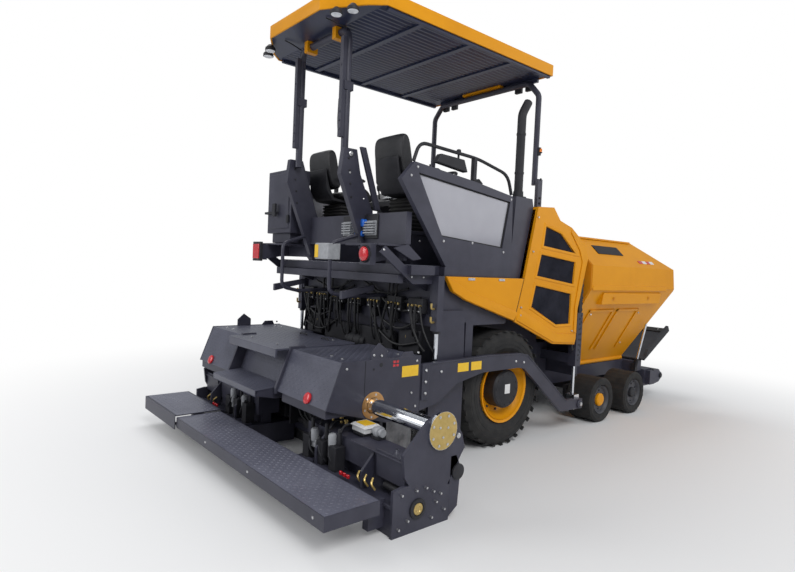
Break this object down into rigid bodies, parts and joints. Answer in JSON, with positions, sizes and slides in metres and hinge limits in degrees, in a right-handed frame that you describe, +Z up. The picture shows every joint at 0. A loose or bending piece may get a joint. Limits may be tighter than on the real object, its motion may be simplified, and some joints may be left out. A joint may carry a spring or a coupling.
{
  "type": "asphalt paver",
  "caption": "Wheeled asphalt paver with a folding hopper, twin operator seats under a canopy, and an extending screed towed on two arms.",
  "frame": {"origin": "on the ground under the middle of the machine's box", "axes": "+X forward along the machine, +Y to its left, +Z up"},
  "size_m": [6.8324, 3.475, 4.14],
  "materials": {
    "orange_paint": "gloss",
    "dark_paint": "satin",
    "black_steel": "satin",
    "rubber": "matte",
    "chrome": "polished",
    "glass": "clear",
    "seat_cover": "matte",
    "worn_steel": "worn"
  },
  "bodies": {
    "chassis": {"main_frame": "dark_paint", "side_frame_r": "dark_paint", "side_frame_l": "dark_paint", "engine_block": "black_steel", "hopper_back": "orange_paint", "axle_r": "black_steel", "axle_l": "black_steel", "front_bogie": "black_steel", "hood": "orange_paint", "cowl": "dark_paint", "muffler": "black_steel", "platform_deck": "dark_paint", "sidewall_r": "dark_paint", "sidewall_l": "dark_paint", "glass_r": "glass", "glass_l": "glass", "seat_r": "seat_cover", "seat_l": "seat_cover", "console": "black_steel", "rear_frame": "dark_paint", "post_stand": "dark_paint", "push_beam": "dark_paint"},
    "rear_wheel_r": {"rear_rim_r": "orange_paint", "rear_tyre_r": "rubber"},
    "steer_rear_r": {"knuckle_rear_r": "black_steel"},
    "front_wheel_rear_r": {"front_wheel_rear_r": "rubber"},
    "steer_front_r": {"knuckle_front_r": "black_steel"},
    "front_wheel_front_r": {"front_wheel_front_r": "rubber"},
    "side_lid_r": {"side_lid_r": "orange_paint"},
    "wing_r": {"hopper_wing_r": "orange_paint"},
    "push_roller_r": {"push_roller_r": "worn_steel"},
    "auger_r": {"auger_r": "worn_steel"},
    "rear_wheel_l": {"rear_rim_l": "orange_paint", "rear_tyre_l": "rubber"},
    "steer_rear_l": {"knuckle_rear_l": "black_steel"},
    "front_wheel_rear_l": {"front_wheel_rear_l": "rubber"},
    "steer_front_l": {"knuckle_front_l": "black_steel"},
    "front_wheel_front_l": {"front_wheel_front_l": "rubber"},
    "side_lid_l": {"side_lid_l": "orange_paint"},
    "wing_l": {"hopper_wing_l": "orange_paint"},
    "push_roller_l": {"push_roller_l": "worn_steel"},
    "auger_l": {"auger_l": "worn_steel"},
    "apron": {"front_apron": "black_steel"},
    "hoop": {"canopy_hoop": "dark_paint"},
    "roof": {"canopy_roof": "orange_paint"},
    "posts": {"canopy_posts": "dark_paint"},
    "tow_points": {"tow_point_r": "chrome", "tow_point_l": "chrome"},
    "screed": {"tow_arm_r": "dark_paint", "tow_arm_l": "dark_paint", "screed_cover": "dark_paint", "screed_shoe": "worn_steel"},
    "extension_r": {"extension_r": "dark_paint", "tube_r": "chrome", "walkway_r": "dark_paint"},
    "lift_rod_r": {"lift_rod_r": "chrome"},
    "extension_l": {"extension_l": "dark_paint", "tube_l": "chrome", "walkway_l": "dark_paint"},
    "lift_rod_l": {"lift_rod_l": "chrome"}
  },
  "joints": [
    {"name": "rear_wheel_r_spin", "type": "hinge", "parent": "chassis", "child": "rear_wheel_r", "pos_m": [-0.69115, -0.6575, 0.59], "axis": [0, 1, 0], "continuous": true},
    {"name": "steer_rear_r", "type": "hinge", "parent": "chassis", "child": "steer_rear_r", "pos_m": [1.08885, -0.6475, 0.27], "axis": [0, 0, 1], "range_deg": [-14, 14]},
    {"name": "front_wheel_rear_r_spin", "type": "hinge", "parent": "steer_rear_r", "child": "front_wheel_rear_r", "pos_m": [1.08885, -0.7675, 0.27], "axis": [0, 1, 0], "continuous": true},
    {"name": "steer_front_r", "type": "hinge", "parent": "chassis", "child": "steer_front_r", "pos_m": [1.88885, -0.6475, 0.27], "axis": [0, 0, 1], "range_deg": [-20, 20]},
    {"name": "front_wheel_front_r_spin", "type": "hinge", "parent": "steer_front_r", "child": "front_wheel_front_r", "pos_m": [1.88885, -0.7675, 0.27], "axis": [0, 1, 0], "continuous": true},
    {"name": "side_lid_r_lift", "type": "hinge", "parent": "chassis", "child": "side_lid_r", "pos_m": [-0.69115, -0.8775, 1.715], "axis": [-1, 0, 0], "range_deg": [0, 70]},
    {"name": "wing_r_fold", "type": "hinge", "parent": "chassis", "child": "wing_r", "pos_m": [0.70885, -0.3875, 0.6106], "axis": [1, 0, 0], "range_deg": [0, 45]},
    {"name": "push_roller_r_spin", "type": "hinge", "parent": "chassis", "child": "push_roller_r", "pos_m": [3.18885, -0.1675, 0.33], "axis": [0, 1, 0], "continuous": true},
    {"name": "auger_r_spin", "type": "hinge", "parent": "chassis", "child": "auger_r", "pos_m": [-1.53115, -0.2875, 0.36], "axis": [0, 1, 0], "continuous": true},
    {"name": "rear_wheel_l_spin", "type": "hinge", "parent": "chassis", "child": "rear_wheel_l", "pos_m": [-0.69115, 1.2825, 0.59], "axis": [0, 1, 0], "continuous": true},
    {"name": "steer_rear_l", "type": "hinge", "parent": "chassis", "child": "steer_rear_l", "pos_m": [1.08885, 1.2725, 0.27], "axis": [0, 0, 1], "range_deg": [-14, 14]},
    {"name": "front_wheel_rear_l_spin", "type": "hinge", "parent": "steer_rear_l", "child": "front_wheel_rear_l", "pos_m": [1.08885, 1.3925, 0.27], "axis": [0, 1, 0], "continuous": true},
    {"name": "steer_front_l", "type": "hinge", "parent": "chassis", "child": "steer_front_l", "pos_m": [1.88885, 1.2725, 0.27], "axis": [0, 0, 1], "range_deg": [-20, 20]},
    {"name": "front_wheel_front_l_spin", "type": "hinge", "parent": "steer_front_l", "child": "front_wheel_front_l", "pos_m": [1.88885, 1.3925, 0.27], "axis": [0, 1, 0], "continuous": true},
    {"name": "side_lid_l_lift", "type": "hinge", "parent": "chassis", "child": "side_lid_l", "pos_m": [-0.69115, 1.5025, 1.715], "axis": [1, 0, 0], "range_deg": [0, 70]},
    {"name": "wing_l_fold", "type": "hinge", "parent": "chassis", "child": "wing_l", "pos_m": [0.70885, 1.0125, 0.6106], "axis": [-1, 0, 0], "range_deg": [0, 45]},
    {"name": "push_roller_l_spin", "type": "hinge", "parent": "chassis", "child": "push_roller_l", "pos_m": [3.18885, 0.7925, 0.33], "axis": [0, 1, 0], "continuous": true},
    {"name": "auger_l_spin", "type": "hinge", "parent": "chassis", "child": "auger_l", "pos_m": [-1.53115, 0.9125, 0.36], "axis": [0, 1, 0], "continuous": true},
    {"name": "apron_fold", "type": "hinge", "parent": "chassis", "child": "apron", "pos_m": [2.66885, 0.3125, 0.6], "axis": [0, -1, 0], "range_deg": [0, 40]},
    {"name": "canopy_fold", "type": "hinge", "parent": "chassis", "child": "hoop", "pos_m": [-2.26115, 0.3125, 2.79], "axis": [0, -1, 0], "range_deg": [0, 60]},
    {"name": "roof_level", "type": "hinge", "parent": "hoop", "child": "roof", "pos_m": [-2.26115, 0.3125, 3.94], "axis": [0, -1, 0], "range_deg": [-60, 0]},
    {"name": "posts_fold", "type": "hinge", "parent": "chassis", "child": "posts", "pos_m": [0.05885, 0.3125, 2.79], "axis": [0, -1, 0], "range_deg": [0, 60]},
    {"name": "tow_point_level", "type": "slide", "parent": "chassis", "child": "tow_points", "axis": [0, 0, 1], "range_m": [0, 0.1]},
    {"name": "screed_lift", "type": "hinge", "parent": "tow_points", "child": "screed", "pos_m": [0.57885, 0.3125, 0.29], "axis": [0, 1, 0], "range_deg": [0, 5]},
    {"name": "extension_r_slide", "type": "slide", "parent": "screed", "child": "extension_r", "axis": [0, 1, 0], "range_m": [-0.25, 0.745]},
    {"name": "extension_l_slide", "type": "slide", "parent": "screed", "child": "extension_l", "axis": [0, 1, 0], "range_m": [-0.12, 0.875]},
    {"name": "lift_rod_r_slide", "type": "slide", "parent": "chassis", "child": "lift_rod_r", "axis": [0, 0, 1], "range_m": [0, 0.2]},
    {"name": "lift_rod_l_slide", "type": "slide", "parent": "chassis", "child": "lift_rod_l", "axis": [0, 0, 1], "range_m": [0, 0.2]}
  ],
  "couplings": [
    {"joint": "steer_rear_r", "follows": "steer_front_r", "ratio": 0.7},
    {"joint": "steer_rear_l", "follows": "steer_front_r", "ratio": 0.7},
    {"joint": "steer_front_l", "follows": "steer_front_r", "ratio": 1},
    {"joint": "roof_level", "follows": "canopy_fold", "ratio": -1},
    {"joint": "posts_fold", "follows": "canopy_fold", "ratio": 1},
    {"joint": "lift_rod_r_slide", "follows": "screed_lift", "m_per_rad": 2.2804},
    {"joint": "lift_rod_l_slide", "follows": "screed_lift", "m_per_rad": 2.2804}
  ]
}
